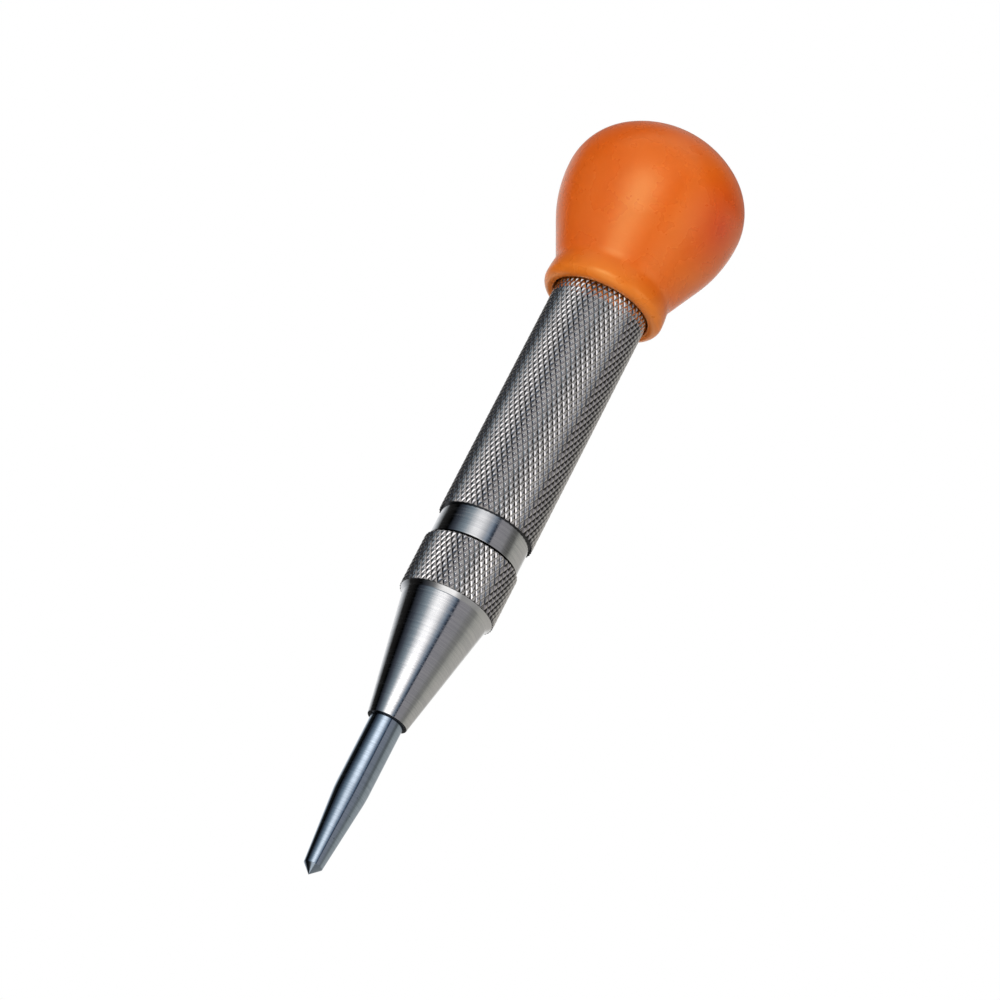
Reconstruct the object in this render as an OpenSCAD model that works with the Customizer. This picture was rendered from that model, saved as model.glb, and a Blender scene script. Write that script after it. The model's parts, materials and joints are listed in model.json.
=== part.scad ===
// Automatic center punch with a ball cap.
// The axis is Z, the tip is at the origin, and every height is measured up from the tip, in millimetres.

/* [Punch] */
// Full angle of the ground point, in degrees
point_angle = 90; // [60:5:120]
// Radius where the ground point meets the taper
point_r = 1.45; // [1:0.05:1.8]
// Height where the taper reaches the full shank
taper_top_z = 13.6; // [10:0.1:20]
// Radius of the shank
shank_r = 2.55; // [2.1:0.05:3.1]
// Length of punch that shows below the nose
reach = 25.7; // [21:0.1:31]
// Radius of the tang that the drive pin holds
tang_r = 1.5; // [1.2:0.05:1.8]
// Length of the tang
tang_len = 6; // [4:0.5:9]

/* [Nose] */
// Wall at the nose's thin lower end
nose_lip_wall = 0.5; // [0.3:0.05:0.8]
// Length of the bore that guides the shank
guide_len = 12.3; // [10:0.1:15]
// Length of the taper, from the lower end up to the collar
nose_cone_len = 19.25; // [16:0.05:24]
// Bevel below the collar's knurled band, 45 degrees
collar_bevel = 0.75; // [0.4:0.05:1]
// Length of the collar's knurled band
collar_len = 8.4; // [6:0.1:11]
// Height of the bevel above the knurled band
collar_top_bevel = 0.5; // [0.3:0.1:1.6]
// Step from the neck in to the top of that bevel
seam_step = 0.1; // [0.05:0.05:0.3]
// Length of the spigot that is screwed into the barrel
spigot_len = 7.9; // [5:0.1:10]

/* [Barrel] */
// Radius over the knurled grip and the knurled collar
grip_r = 7.5; // [7.2:0.1:9]
// Length of the grip below the cap
grip_len = 40.4; // [33:0.1:50]
// Step from the grip in to the neck
neck_step = 0.45; // [0.2:0.05:0.6]
// Length of the neck
neck_len = 4.6; // [3:0.1:5]
// Wall of the neck round the nose's spigot
neck_wall = 1.25; // [1:0.05:1.4]
// Step from the grip in to the plain length inside the cap's mouth
relief_step = 0.2; // [0.16:0.02:0.3]
// Length of that plain length
relief_len = 6.4; // [5:0.1:8]
// Shoulder that the adjusting cap is screwed down to
thread_shoulder = 0.9; // [0.6:0.05:1.1]
// Length of the thread that carries the adjusting cap
thread_len = 10; // [8:0.5:12]

/* [Hammer, latch and drive pin] */
// Radius of the hammer
hammer_r = 4.5; // [4.2:0.05:4.8]
// Length of the hammer
hammer_len = 29.5; // [26:0.5:35]
// Width of the ledge that the hammer rests on
hammer_ledge = 0.6; // [0.4:0.05:0.9]
// Travel of the punch until the latch lets the hammer go
stroke = 9; // [7:0.5:11]
// Sideways travel of the latch over that stroke
latch_throw = 0.95; // [0.7:0.05:1]
// Height of the latch's pocket above the hammer's lower face
latch_rise = 8.5; // [8:0.1:10]
// Height of the latch
latch_h = 3.9; // [3:0.1:5]
// Width of the latch
latch_w = 3.9; // [3.6:0.1:4.2]
// Wall of the hammer behind the latch's pocket
pocket_wall = 0.9; // [0.7:0.05:1.1]
// Room that is left behind the latch when it is pushed right in
latch_rear_gap = 0.75; // [0.5:0.05:0.9]
// Radius of the drive pin's stem
stem_r = 1.3; // [1.1:0.05:1.4]
// Height of the gap that the hammer falls through
fall = 8; // [6:0.5:8.5]
// Radius of the bore in the hammer that takes the return spring
spring_bore_r = 3.1; // [2.9:0.05:3.2]
// Depth of that bore
spring_bore_depth = 6; // [4:0.5:7]
// Room in the hammer's bore above the stem when the hammer has fallen
stem_room = 2; // [1:0.5:3]

/* [Springs] */
// Wire radius of the main spring
main_wire_r = 0.65; // [0.5:0.05:0.7]
// Turns of the main spring
main_turns = 6; // [4:0.5:7]
// Gap between the main spring and the barrel's bore
main_spring_gap = 0.25; // [0.2:0.05:0.35]
// Gap between the main spring and the bosses that centre it
spring_boss_gap = 0.4; // [0.3:0.05:0.8]
// Height of those bosses
spring_boss_h = 2.5; // [1.5:0.5:3]
// Length of the spring seat's guided body
seat_len = 6; // [5:0.5:7]
// Wire radius of the return spring
return_wire_r = 0.25; // [0.2:0.05:0.35]
// Mean radius of the return spring
return_coil_r = 2.3; // [2:0.05:2.5]
// Turns of the return spring
return_turns = 8; // [5:0.5:9]
// Wire radius of the latch spring
latch_wire_r = 0.125; // [0.1:0.025:0.15]
// Mean radius of the latch spring
latch_coil_r = 0.6; // [0.5:0.05:0.7]
// Turns of the latch spring
latch_turns = 2.5; // [2:0.5:2.5]
// Wall of the latch between its spring's seat and its hole
latch_seat_wall = 0.75; // [0.5:0.05:0.9]

/* [Cap] */
// Radius of the ball at its widest line
ball_r = 14.2; // [12:0.1:17]
// How far the centre of the ball's upper round lies from the axis
shoulder_offset = 4.1; // [2:0.1:6]
// How much larger the crown's radius is than the ball's
crown_flatness = 1.95; // [0.5:0.05:3]
// Radius of the round below the widest line
lower_round_r = 20.5; // [15:0.5:22]
// Angle of the cone below the ball from the axis, in degrees
cap_cone_angle = 25; // [20:1:32]
// Wall of the ring round the mouth
ring_wall = 1.92; // [1.8:0.02:2.4]
// Height of the ring
ring_h = 4.25; // [3.5:0.05:5.5]
// Step from the ring in to the cone
ring_step = 0.5; // [0.2:0.05:0.7]
// Radius of the round on the ring's upper edge
ring_edge_round = 0.35; // [0.1:0.05:0.4]
// Radius of the round on the outside of the lip
lip_round = 1.4; // [0.6:0.05:1.5]
// Radial width of the bevel inside the lip
lip_bevel = 0.3; // [0.1:0.05:0.35]
// Height of that bevel
lip_bevel_h = 0.6; // [0.2:0.05:0.9]
// Gap between the grip's upper end and the lip
lip_gap = 0.2; // [0.1:0.05:0.4]
// Wall of the adjusting cap
cup_wall = 1.25; // [0.9:0.05:1.6]
// Thickness of the adjusting cap's roof
cup_roof = 2.5; // [1.5:0.1:3.5]
// Room between the barrel's upper end and the adjusting cap's roof
cup_headroom = 1; // [0.5:0.1:2]

/* [Fits] */
// Clearance of pieces that slide in a bore or a pocket
slide_clearance = 0.05; // [0.02:0.01:0.08]
// Radial clearance of the threads
thread_clearance = 0.05; // [0.02:0.01:0.08]
// Radial clearance of the drive pin, the spring seat and the latch spring
loose_clearance = 0.1; // [0.06:0.01:0.2]
// Radial clearance of pieces that are pressed together
press_clearance = 0.02; // [0.01:0.01:0.03]
// Bevel on turned edges
edge_bevel = 0.3; // [0.1:0.05:0.4]

/* [Hidden] */
$fn = 96;

// Colours
ORANGE = [0.86, 0.41, 0.15];
PLATED = [0.80, 0.81, 0.83];
STEEL = [0.55, 0.57, 0.61];
SPRING = [0.42, 0.43, 0.46];

// Radii that follow from the grip and the hammer
neck_r = grip_r - neck_step;
relief_r = grip_r - relief_step;
thread_r = relief_r - thread_shoulder;
socket_r = neck_r - neck_wall;
spigot_r = socket_r - thread_clearance;
collar_low_r = grip_r - collar_bevel;
collar_top_r = neck_r - seam_step;
guide_r = shank_r + slide_clearance;
nose_end_r = guide_r + nose_lip_wall;
chamber_r = hammer_r - hammer_ledge;
head_r = chamber_r - loose_clearance;
bore_r = hammer_r + slide_clearance;
trip_bore_r = bore_r + latch_throw;
stem_bore_r = stem_r + loose_clearance;
seat_r = bore_r - loose_clearance;
cup_bore_r = thread_r + thread_clearance;
cup_r = cup_bore_r + cup_wall;
cap_bore_r = cup_r + press_clearance;
ring_r = cap_bore_r + ring_wall;
main_coil_r = bore_r - main_spring_gap - main_wire_r;
spring_boss_r = main_coil_r - main_wire_r - spring_boss_gap;
latch_seat_r = latch_coil_r + latch_wire_r + loose_clearance;

// Lengths of the latch and its pocket behind the axis
pocket_back = hammer_r - pocket_wall;
latch_back = pocket_back - latch_throw - latch_rear_gap;
latch_seat_depth = max(0, latch_back + latch_throw - stem_bore_r - latch_seat_wall);

// Heights of the nose
chamber_z = reach + guide_len;
collar_z = reach + nose_cone_len;
band_z = collar_z + collar_bevel;
band_top_z = band_z + collar_len;
joint_z = band_top_z + collar_top_bevel;
spigot_top_z = joint_z + spigot_len;

// Heights of the hammer, its latch and the taper that works the latch
hammer_z = spigot_top_z;
hammer_top_z = hammer_z + hammer_len;
spring_bore_z = hammer_z + spring_bore_depth;
pocket_z = hammer_z + latch_rise;
pocket_h = latch_h + 2 * slide_clearance;
pocket_top_z = pocket_z + pocket_h;
stem_bore_top_z = pocket_z + fall + stem_room;
trip_end_z = pocket_top_z + stroke;

// Heights of the drive pin
head_top_z = hammer_z - fall;
stem_top_z = pocket_z - slide_clearance;

// Heights of the barrel
socket_top_z = spigot_top_z + edge_bevel;
grip_z = joint_z + neck_len;
grip_top_z = grip_z + grip_len;
relief_top_z = grip_top_z + relief_len;
barrel_top_z = relief_top_z + thread_len;

// Heights of the cap and what it presses on
cup_roof_z = barrel_top_z + cup_headroom;
cup_top_z = cup_roof_z + cup_roof;
seat_z = cup_roof_z - seat_len;
lip_z = grip_top_z + lip_gap;
ring_top_z = lip_z + ring_h;

// Lengths of the spaces that the springs fill at rest
main_spring_len = seat_z - hammer_top_z;
return_spring_len = spring_bore_z - head_top_z;
latch_spring_len = pocket_back - latch_back + latch_seat_depth;

// Centres of the cap's rounds: the cone leaves the ring and runs into the lower round without a corner
cone_foot_r = ring_r - ring_step;
cone_top_r = ball_r - lower_round_r * (1 - cos(cap_cone_angle));
cone_top_z = ring_top_z + (cone_top_r - cone_foot_r) / tan(cap_cone_angle);
widest_z = cone_top_z + lower_round_r * sin(cap_cone_angle);
upper_round_r = ball_r - shoulder_offset;
crown_r = ball_r + crown_flatness;
crown_z = widest_z - sqrt(pow(crown_r - upper_round_r, 2) - pow(shoulder_offset, 2));
crown_angle = asin(shoulder_offset / (crown_r - upper_round_r));

// Overrun of a cut past the face that it opens
CUT_OVER = 1;

// Steps along an arc, and the rings and sides of a coil's wire
ARC_STEPS = 10;
COIL_RINGS = 12;
WIRE_SIDES = 6;

// Points of an arc about (r, z); angles are measured from +Z towards +R
function arc(r, z, radius, from, to) =
    [for (i = [0:ARC_STEPS])
        let (a = from + (to - from) * i / ARC_STEPS)
        [r + radius * sin(a), z + radius * cos(a)]];

// Centre line of a coil that stands on z = 0 and is as long as the space it fills
function coil_line(coil_r, wire_r, length, turns) =
    let (steps = ceil(turns * COIL_RINGS))
    [for (i = [0:steps])
        let (a = 360 * turns * i / steps)
        [coil_r * cos(a), coil_r * sin(a), wire_r + (length - 2 * wire_r) * i / steps]];

// Least gap between the turns of a coil, measured on its centre line's points
function coil_gap(line, wire_r) =
    min([for (i = [0:len(line) - 1], j = [i + COIL_RINGS / 2:1:len(line) - 1]) norm(line[i] - line[j])])
    - 2 * wire_r;

// One unbroken wire wound along Z
module coil(coil_r, wire_r, length, turns) {
    line = coil_line(coil_r, wire_r, length, turns);
    last = len(line) - 1;
    lead = atan((length - 2 * wire_r) / (2 * PI * coil_r * turns));
    rings = [for (i = [0:last], k = [0:WIRE_SIDES - 1])
        let (a = 360 * turns * i / last,
             b = 360 * k / WIRE_SIDES,
             outward = [cos(a), sin(a), 0],
             upward = [sin(a) * sin(lead), -cos(a) * sin(lead), cos(lead)])
        line[i] + wire_r * (cos(b) * outward + sin(b) * upward)];
    skin = [for (i = [0:last - 1], k = [0:WIRE_SIDES - 1])
        let (here = i * WIRE_SIDES,
             next = here + WIRE_SIDES,
             k2 = (k + 1) % WIRE_SIDES)
        each [[here + k, here + k2, next + k2], [here + k, next + k2, next + k]]];
    foot = [for (k = [1:WIRE_SIDES - 2]) [0, k + 1, k]];
    top = last * WIRE_SIDES;
    head = [for (k = [1:WIRE_SIDES - 2]) [top, top + k, top + k + 1]];
    polyhedron(points = rings, faces = concat(skin, foot, head));
}

// A turned piece from its half outline of [radius, height] points
module turned(outline) {
    rotate_extrude() polygon(outline);
}

module ball_cap() {
    crown = arc(0, crown_z, crown_r, 0, crown_angle);
    shoulder = arc(shoulder_offset, widest_z, upper_round_r, crown_angle, 90);
    underside = arc(ball_r - lower_round_r, widest_z, lower_round_r, 90, 90 + cap_cone_angle);
    ring_edge = arc(ring_r - ring_edge_round, ring_top_z - ring_edge_round, ring_edge_round, 0, 90);
    lip = arc(ring_r - lip_round, lip_z + lip_round, lip_round, 90, 180);
    color(ORANGE) turned(concat(
        [[0, cup_top_z]], crown, shoulder, underside,
        [[cone_foot_r, ring_top_z]], ring_edge, lip,
        [[cap_bore_r + lip_bevel, lip_z], [cap_bore_r, lip_z + lip_bevel_h], [cap_bore_r, cup_top_z]]));
}

module adjusting_cap() {
    color(STEEL) turned([
        [cup_bore_r, relief_top_z], [cup_r, relief_top_z], [cup_r, cup_top_z],
        [0, cup_top_z], [0, cup_roof_z], [cup_bore_r, cup_roof_z]]);
}

module spring_seat() {
    color(STEEL) turned([
        [0, seat_z - spring_boss_h], [spring_boss_r, seat_z - spring_boss_h], [spring_boss_r, seat_z],
        [seat_r, seat_z], [seat_r, cup_roof_z], [0, cup_roof_z]]);
}

module main_spring() {
    color(SPRING) translate([0, 0, hammer_top_z])
        coil(main_coil_r, main_wire_r, main_spring_len, main_turns);
}

module barrel() {
    color(PLATED) turned([
        [socket_r, joint_z], [neck_r, joint_z], [neck_r, grip_z],
        [grip_r, grip_z], [grip_r, grip_top_z], [relief_r, grip_top_z],
        [relief_r, relief_top_z], [thread_r, relief_top_z],
        [thread_r, barrel_top_z - edge_bevel], [thread_r - edge_bevel, barrel_top_z],
        [bore_r, barrel_top_z], [bore_r, trip_end_z], [trip_bore_r, pocket_top_z],
        [trip_bore_r, socket_top_z], [socket_r, socket_top_z]]);
}

module hammer() {
    color(STEEL) difference() {
        turned([
            [spring_bore_r, hammer_z], [hammer_r - edge_bevel, hammer_z], [hammer_r, hammer_z + edge_bevel],
            [hammer_r, hammer_top_z], [spring_boss_r, hammer_top_z],
            [spring_boss_r, hammer_top_z + spring_boss_h], [0, hammer_top_z + spring_boss_h],
            [0, stem_bore_top_z], [stem_bore_r, stem_bore_top_z],
            [stem_bore_r, spring_bore_z], [spring_bore_r, spring_bore_z]]);
        translate([-pocket_back, -latch_w / 2 - slide_clearance, pocket_z])
            cube([pocket_back + hammer_r + CUT_OVER, latch_w + 2 * slide_clearance, pocket_h]);
    }
}

module latch() {
    color(STEEL) translate([0, 0, pocket_z + slide_clearance]) difference() {
        intersection() {
            translate([-latch_back, -latch_w / 2, 0])
                cube([latch_back + hammer_r + latch_throw + CUT_OVER, latch_w, latch_h]);
            translate([latch_throw, 0, 0]) cylinder(r = hammer_r, h = latch_h);
        }
        translate([latch_throw, 0, -CUT_OVER]) cylinder(r = stem_bore_r, h = latch_h + 2 * CUT_OVER);
        translate([-latch_back - CUT_OVER, 0, latch_h / 2]) rotate([0, 90, 0])
            cylinder(r = latch_seat_r, h = latch_seat_depth + CUT_OVER);
    }
}

module latch_spring() {
    color(SPRING) translate([-pocket_back, 0, pocket_z + pocket_h / 2]) rotate([0, 90, 0])
        coil(latch_coil_r, latch_wire_r, latch_spring_len, latch_turns);
}

module return_spring() {
    color(SPRING) translate([0, 0, head_top_z])
        coil(return_coil_r, return_wire_r, return_spring_len, return_turns);
}

module drive_pin() {
    color(STEEL) turned([
        [tang_r + press_clearance, chamber_z], [head_r, chamber_z], [head_r, head_top_z],
        [stem_r, head_top_z], [stem_r, stem_top_z - edge_bevel], [stem_r - edge_bevel, stem_top_z],
        [0, stem_top_z], [0, chamber_z + tang_len], [tang_r + press_clearance, chamber_z + tang_len]]);
}

module nose() {
    color(PLATED) turned([
        [guide_r, reach], [nose_end_r, reach], [collar_low_r, collar_z], [grip_r, band_z],
        [grip_r, band_top_z], [collar_top_r, joint_z], [spigot_r, joint_z],
        [spigot_r, spigot_top_z], [chamber_r, spigot_top_z], [chamber_r, chamber_z], [guide_r, chamber_z]]);
}

module punch() {
    color(STEEL) turned([
        [0, 0], [point_r, point_r / tan(point_angle / 2)], [shank_r, taper_top_z], [shank_r, chamber_z],
        [tang_r, chamber_z], [tang_r, chamber_z + tang_len], [0, chamber_z + tang_len]]);
}

echo(main_spring_gap_mm = coil_gap(coil_line(main_coil_r, main_wire_r, main_spring_len, main_turns),
                                   main_wire_r));
echo(return_spring_gap_mm = coil_gap(coil_line(return_coil_r, return_wire_r, return_spring_len, return_turns),
                                     return_wire_r));
echo(latch_spring_gap_mm = coil_gap(coil_line(latch_coil_r, latch_wire_r, latch_spring_len, latch_turns),
                                    latch_wire_r));

ball_cap();
adjusting_cap();
spring_seat();
main_spring();
barrel();
hammer();
latch();
latch_spring();
return_spring();
drive_pin();
nose();
punch();
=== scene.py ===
"""Looks of an automatic center punch with a ball cap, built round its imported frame, in metres."""
import json
import math

import bmesh
import bpy
from mathutils import Matrix, Vector


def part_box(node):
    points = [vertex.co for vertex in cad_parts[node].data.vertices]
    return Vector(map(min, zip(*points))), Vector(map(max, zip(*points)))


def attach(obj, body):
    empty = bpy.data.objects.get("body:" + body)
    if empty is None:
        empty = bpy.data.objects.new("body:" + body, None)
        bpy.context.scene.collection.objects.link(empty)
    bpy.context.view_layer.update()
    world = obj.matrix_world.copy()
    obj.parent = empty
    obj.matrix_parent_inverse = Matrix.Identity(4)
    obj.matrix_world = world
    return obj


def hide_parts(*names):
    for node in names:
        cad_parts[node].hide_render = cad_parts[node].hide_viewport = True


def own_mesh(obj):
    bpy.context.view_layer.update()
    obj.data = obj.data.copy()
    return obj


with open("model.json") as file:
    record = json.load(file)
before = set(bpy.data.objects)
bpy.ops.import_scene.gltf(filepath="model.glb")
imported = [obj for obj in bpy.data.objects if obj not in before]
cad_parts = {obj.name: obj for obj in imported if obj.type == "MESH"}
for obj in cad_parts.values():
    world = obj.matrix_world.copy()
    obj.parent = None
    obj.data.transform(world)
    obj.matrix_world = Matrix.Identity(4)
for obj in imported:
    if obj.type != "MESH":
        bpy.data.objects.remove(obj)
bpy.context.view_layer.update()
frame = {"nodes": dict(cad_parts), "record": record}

MM = 0.001
# Axes by their index
X, Y, Z = 0, 1, 2

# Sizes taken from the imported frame
punch_low, punch_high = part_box("punch")
nose_low, nose_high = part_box("nose")
barrel_low, barrel_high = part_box("barrel")
cap_low, cap_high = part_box("ball_cap")
cup_low, cup_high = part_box("adjusting_cap")
pin_low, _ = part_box("drive_pin")
main_low, main_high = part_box("main_spring")
return_low, return_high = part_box("return_spring")
latch_spring_low, latch_spring_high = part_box("latch_spring")
grip = next(m for m in frame["record"]["mounts"] if m["name"] == "barrel_grip")
GRIP_R = grip["dims"]["r_mm"] * MM
GRIP_LOW = grip["pos_m"][Z] - grip["dims"]["length_mm"] * MM / 2

# Steps of a turned piece and of a rounded corner, and the usual rounding of an edge
SEGMENTS = 160
CORNER_STEPS = 4
EDGE = 0.12 * MM
# Points closer than this are merged, also where a skin is cut
MERGE = 0.002 * MM
CUT_MERGE = MERGE / 10
# Faces that meet at less than this are shaded as one surface
SMOOTH_ANGLE = math.radians(38)
KNURL_SMOOTH_ANGLE = math.radians(20)

# Punch
POINT_R = 1.45 * MM
POINT_EDGE = EDGE / 2
POINT_STEPS = 2
TIP = 0.08 * MM
TAPER_TOP = 13.6 * MM
TAPER_BLEND = 0.9 * MM
TAPER_STEPS = 6
SHANK_R = punch_high.x
TANG_R = 1.5 * MM
TANG_LOW = 38 * MM
TANG_EDGE = EDGE * 2

# Nose
NOSE_END_R = 3.1 * MM
NOSE_END_STEPS = 6
GUIDE_R = 2.6 * MM
COUNTERSINK = 0.06 * MM
CHAMBER_R = 3.9 * MM
COLLAR_LOW = 44.95 * MM
COLLAR_LOW_R = 6.75 * MM
BAND_LOW = 45.7 * MM
BAND_HIGH = 54.1 * MM
JOINT = barrel_low.z
COLLAR_TOP_R = 6.95 * MM
SPIGOT_R = 5.75 * MM
SEAM_ROUND = 0.08 * MM
SEAM_GAP = 0.2 * MM
SEAM_R = 6.4 * MM
COLLAR_KNURL_LOW = BAND_LOW - 0.05 * MM
RIM = 0.03 * MM

# Barrel
NECK_R = 7.05 * MM
SOCKET_R = 5.8 * MM
SOCKET_TOP = 62.8 * MM
TRIP_R = 5.5 * MM
TRIP_LOW = 75 * MM
TRIP_HIGH = 84 * MM
BORE_R = 4.55 * MM
THREAD_R = 6.4 * MM
THREAD_LOW = cup_low.z
GRIP_HIGH = 104.5 * MM
RELIEF_R = 7.15 * MM
THREAD_BEVEL = 0.3 * MM

# Diamond knurl: lines of each hand round the grip, height of a diamond, and spare rows to cut off
KNURL_LINES = 50
KNURL_PITCH = 1.67 * MM
SPARE_ROWS = 3
# Width and height of each step from the groove to a tooth's crest, and its sinking for its width
TOOTH_STEPS = (
    (0.02 * MM, 0.010 * MM), (0.11 * MM, 0.060 * MM), (0.13 * MM, 0.054 * MM), (0.09 * MM, 0.023 * MM),
)
CREST_DROP = 0.43
KNURL_DEPTH = sum(height for _, height in TOOTH_STEPS)
GROOVE_R = GRIP_R - KNURL_DEPTH

# Ball cap
BALL_R = cap_high.x
SHOULDER_OFFSET = 4.1 * MM
CROWN_R = BALL_R + 1.95 * MM
CROWN_STEPS = 14
SHOULDER_STEPS = 16
LOWER_ROUND_R = 20.5 * MM
LOWER_STEPS = 12
CONE_ANGLE = math.radians(25)
CUP_SOCKET_R = 7.72 * MM
MOUTH_R = 7.58 * MM
MOUTH_HEIGHT = 2 * MM
RING_R = 9.64 * MM
RING_TOP = cap_low.z + 4.55 * MM
RING_FLARE = 2.3 * MM
CONE_FOOT_R = 9.34 * MM
FOLD_ROUND = 0.8 * MM
FOLD_STEPS = 6
LIP_ROUND = 1.4 * MM
LIP_STEPS = 8
LIP_R = 7.85 * MM
LIP_EDGE = 0.12 * MM
MOUTH_RISE = 0.8 * MM

# Springs: wire radius and turns of each, sides of a wire and steps of a turn
MAIN_WIRE_R = 0.65 * MM
MAIN_TURNS = 6
RETURN_WIRE_R = 0.25 * MM
RETURN_TURNS = 8
LATCH_WIRE_R = 0.125 * MM
LATCH_TURNS = 2.5
WIRE_SIDES = 14
STEPS_PER_TURN = 40


def begin(name, r, z):
    """A new piece of one vertex at radius r and height z, in edit mode."""
    bpy.ops.object.select_all(action="DESELECT")
    bpy.ops.mesh.primitive_plane_add(size=MM)
    piece = bpy.context.object
    piece.name = name
    piece.data.name = name
    bpy.ops.object.mode_set(mode="EDIT")
    bpy.ops.mesh.merge(type="CENTER")
    bpy.ops.transform.translate(value=(r, 0, z))
    return piece


def line_to(piece, *places):
    """Extrudes the outline's last vertex to each (r, z) place in turn."""
    for r, z in places:
        last = next(v for v in bmesh.from_edit_mesh(piece.data).verts if v.select)
        step = Vector((r, 0, z)) - last.co
        bpy.ops.mesh.extrude_vertices_move(TRANSFORM_OT_translate={"value": step})


def arc_about(r, z, angle, steps):
    """Spins the outline's last vertex about (r, z), turning from up towards outwards."""
    bpy.ops.mesh.spin(steps=steps, angle=angle, center=(r, 0, z), axis=(0, -1, 0))


def pick(piece, wanted):
    """Selects the vertices that wanted(vertex) is true for."""
    mesh = bmesh.from_edit_mesh(piece.data)
    for v in mesh.verts:
        v.select = wanted(v)
    mesh.select_flush_mode()
    bmesh.update_edit_mesh(piece.data)


def round_corner(piece, r, z, radius, steps=CORNER_STEPS):
    """Rounds the corner of the outline that lies at (r, z)."""
    bpy.ops.mesh.select_mode(type="VERT")
    corner = Vector((r, 0, z))
    pick(piece, lambda v: (v.co - corner).length < MERGE)
    bpy.ops.mesh.bevel(offset_type="OFFSET", offset=radius, segments=steps, affect="VERTICES")


def turn_outline():
    """Spins the whole outline round the axis into a skin."""
    bpy.ops.mesh.select_all(action="SELECT")
    bpy.ops.mesh.spin(steps=SEGMENTS, angle=2 * math.pi, center=(0, 0, 0), axis=(0, 0, 1))
    close_skin()


def close_skin():
    """Merges doubled points and turns all faces outwards."""
    bpy.ops.mesh.select_all(action="SELECT")
    bpy.ops.mesh.remove_doubles(threshold=MERGE)
    bpy.ops.mesh.normals_make_consistent(inside=False)


def finish_piece(piece, body, node, smooth_angle=SMOOTH_ANGLE):
    """Shades a finished mesh, weights its normals to its large faces and hangs it on its body."""
    bpy.ops.object.mode_set(mode="OBJECT")
    bpy.ops.object.select_all(action="DESELECT")
    piece.select_set(True)
    bpy.context.view_layer.objects.active = piece
    bpy.ops.object.shade_smooth_by_angle(angle=smooth_angle)
    bpy.ops.object.modifier_add(type="WEIGHTED_NORMAL")
    piece.modifiers[-1].keep_sharp = True
    bpy.ops.object.modifier_apply(modifier=piece.modifiers[-1].name)
    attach(piece, body)
    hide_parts(node)
    return piece


def step_empty(turn_by, rise):
    """An empty that gives an array its step: a turn about the axis and a rise along it."""
    bpy.ops.object.empty_add()
    empty = bpy.context.object
    empty.matrix_world = Matrix.Translation((0, 0, rise)) @ Matrix.Rotation(turn_by, 4, "Z")
    return empty


def knurl_skin(name, low, high):
    """A skin of raised diamonds from one height to another: one tooth, repeated round and up."""
    half_angle = math.pi / KNURL_LINES
    half_pitch = KNURL_PITCH / 2
    rows = math.ceil((high - low) / half_pitch) + SPARE_ROWS
    middle = (0, -GROOVE_R, low - half_pitch)
    bpy.ops.object.mode_set(mode="OBJECT")
    bpy.ops.object.select_all(action="DESELECT")
    bpy.ops.mesh.primitive_circle_add(vertices=4, radius=half_pitch, fill_type="NGON", location=middle,
                                      rotation=(math.pi / 2, 0, 0))
    bpy.ops.object.transform_apply(location=True, rotation=True, scale=True)
    skin = bpy.context.object
    skin.name = name
    bpy.ops.object.mode_set(mode="EDIT")
    half_width = GROOVE_R * math.sin(half_angle)
    bpy.ops.transform.resize(value=(half_width / half_pitch, 1, 1), center_override=middle)
    pick(skin, lambda v: abs(v.co.x) > half_width / 2)
    bpy.ops.transform.translate(value=(0, GROOVE_R * (1 - math.cos(half_angle)), 0))
    bpy.ops.mesh.select_all(action="SELECT")
    for width, height in TOOTH_STEPS:
        bpy.ops.mesh.inset(thickness=width, depth=height)
        bpy.ops.transform.translate(value=(0, 0, -CREST_DROP * width))
    bpy.ops.object.mode_set(mode="OBJECT")
    for count, turn_by, rise in ((KNURL_LINES, 2 * half_angle, 0), (rows, half_angle, half_pitch)):
        empty = step_empty(turn_by, rise)
        bpy.ops.object.select_all(action="DESELECT")
        skin.select_set(True)
        bpy.context.view_layer.objects.active = skin
        bpy.ops.object.modifier_add(type="ARRAY")
        array = skin.modifiers[-1]
        array.count = count
        array.use_relative_offset = False
        array.use_object_offset = True
        array.offset_object = empty
        bpy.ops.object.modifier_apply(modifier=array.name)
        bpy.data.objects.remove(empty)
    bpy.ops.object.mode_set(mode="EDIT")
    bpy.ops.mesh.select_all(action="SELECT")
    bpy.ops.mesh.remove_doubles(threshold=MERGE)
    return skin


def cut_level(height, keep=None):
    """Cuts all that is in edit mode at a height; keep is above, below or, for both sides, None."""
    bpy.ops.mesh.select_all(action="SELECT")
    bpy.ops.mesh.bisect(plane_co=(0, 0, height), plane_no=(0, 0, 1), clear_inner=keep == "above",
                        clear_outer=keep == "below", threshold=CUT_MERGE)


def draw_in(piece, height, radius):
    """Moves the skin's points at a height in to one radius."""
    mesh = bmesh.from_edit_mesh(piece.data)
    for v in mesh.verts:
        if abs(v.co.z - height) < MERGE:
            v.co.xy = v.co.xy.normalized() * radius
    bmesh.update_edit_mesh(piece.data)


def lean_in(piece, start, slope):
    """Leans the skin above a height in towards the axis."""
    mesh = bmesh.from_edit_mesh(piece.data)
    for v in mesh.verts:
        rise = v.co.z - start
        if rise > 0:
            v.co.xy -= v.co.xy.normalized() * rise * slope
    bmesh.update_edit_mesh(piece.data)


def join_skin(piece, skin):
    """Joins a knurl skin to a turned piece, which keeps its name, and leaves it in edit mode."""
    bpy.ops.object.mode_set(mode="OBJECT")
    bpy.ops.object.select_all(action="DESELECT")
    skin.select_set(True)
    piece.select_set(True)
    bpy.context.view_layer.objects.active = piece
    bpy.ops.object.join()
    bpy.ops.object.mode_set(mode="EDIT")


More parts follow.
